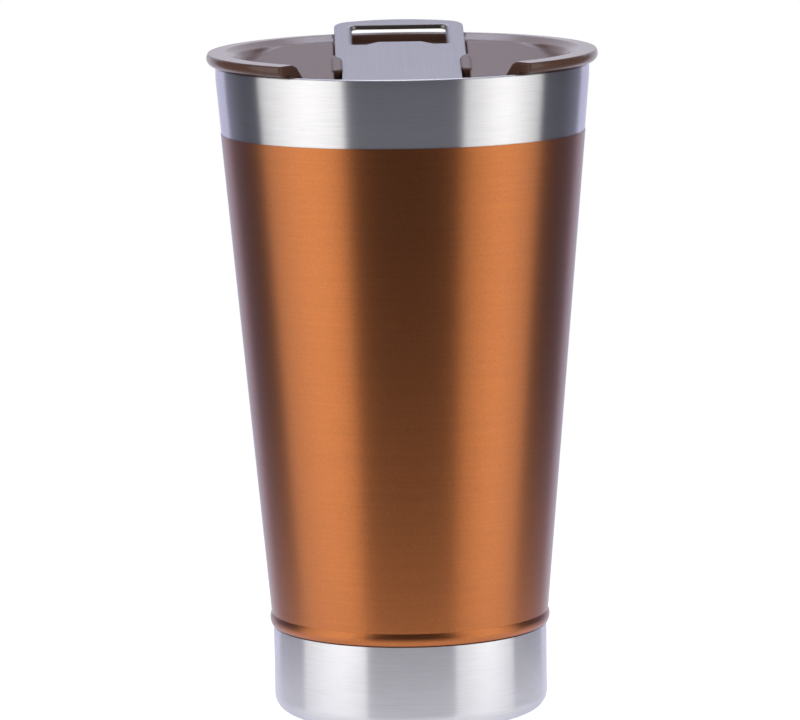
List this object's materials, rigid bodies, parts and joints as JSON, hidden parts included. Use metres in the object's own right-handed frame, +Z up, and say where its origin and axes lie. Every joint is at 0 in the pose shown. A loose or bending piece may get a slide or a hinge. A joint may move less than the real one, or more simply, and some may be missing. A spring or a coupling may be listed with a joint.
{
  "type": "insulated tumbler",
  "caption": "Vacuum-insulated pint tumbler with a push-in drinking lid that carries a sliding steel plate, a shutter for the sip hole and a bottle opener in one.",
  "frame": {"origin": "centre of the foot ring, on the surface that the cup stands on", "axes": "+Z up along the cup's axis; the drinking side faces -Y and the opener's head points to +Y"},
  "size_m": [0.0932, 0.095, 0.1625],
  "materials": {
    "brushed_steel": "brushed round the cup, satin",
    "liner_steel": "electropolished satin",
    "plate_steel": "fine brushed along its length",
    "copper_coat": "satin metallic coat",
    "copper_foil": "bright copper foil",
    "seal_resin": "glassy solder bead",
    "getter_metal": "sintered matt",
    "brown_plastic": "satin gloss moulded",
    "gasket_silicone": "soft matt silicone"
  },
  "bodies": {
    "cup": {"outer_shell": "brushed_steel", "colour_coat": "copper_coat", "inner_liner": "liner_steel", "radiation_foil": "copper_foil", "outer_bottom": "brushed_steel", "base_cover": "brushed_steel", "vacuum_seal": "seal_resin", "getter_pill": "getter_metal", "getter_holder": "liner_steel"},
    "lid": {"lid_body": "brown_plastic", "lid_gasket": "gasket_silicone"},
    "opener": {"opener_plate": "plate_steel"}
  },
  "joints": [
    {"name": "lid_lift", "type": "slide", "parent": "cup", "child": "lid", "axis": [0, 0, 1], "range_m": [0, 0.04]},
    {"name": "plate_slide", "type": "slide", "parent": "lid", "child": "opener", "axis": [0, 0.9816, 0.1908], "range_m": [0, 0.012]}
  ]
}
